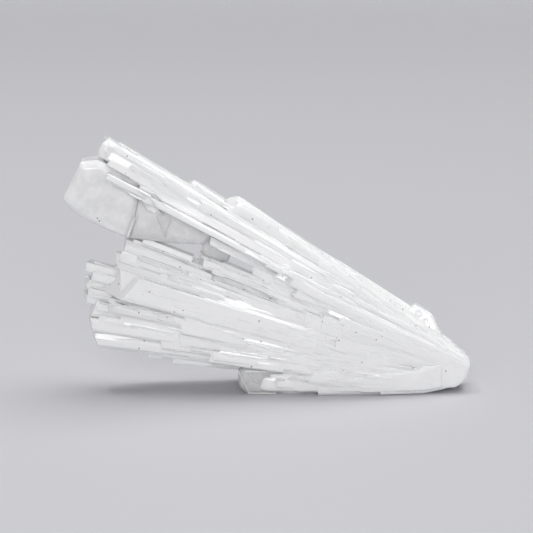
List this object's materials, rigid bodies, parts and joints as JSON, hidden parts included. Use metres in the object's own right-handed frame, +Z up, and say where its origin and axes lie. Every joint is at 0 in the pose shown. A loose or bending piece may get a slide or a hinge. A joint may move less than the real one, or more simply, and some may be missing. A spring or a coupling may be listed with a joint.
{
  "type": "scolecite and apophyllite specimen",
  "caption": "Mineral specimen: a forked spray of white prismatic scolecite crystals that fans out from a broken root, with blocky translucent apophyllite crystals on its tips and foot.",
  "frame": {"origin": "centre of the underside of the specimen's box, at the height of the surface it rests on", "axes": "+X towards the broken root, along the longest extent; +Y to the back, along the shortest extent; +Z up"},
  "size_m": [0.0808, 0.0192, 0.0509],
  "materials": {
    "scolecite": "white to colourless crystal, vitreous, milky towards the root and glassier at the tips",
    "milky_apophyllite": "translucent milky crystal with a pearly to vitreous face",
    "clear_apophyllite": "clear to slightly cloudy crystal, vitreous"
  },
  "bodies": {
    "root": {"scolecite_spray": "scolecite", "apophyllite_end_block": "milky_apophyllite", "apophyllite_fork_block": "clear_apophyllite", "apophyllite_foot_block": "clear_apophyllite"}
  },
  "joints": []
}
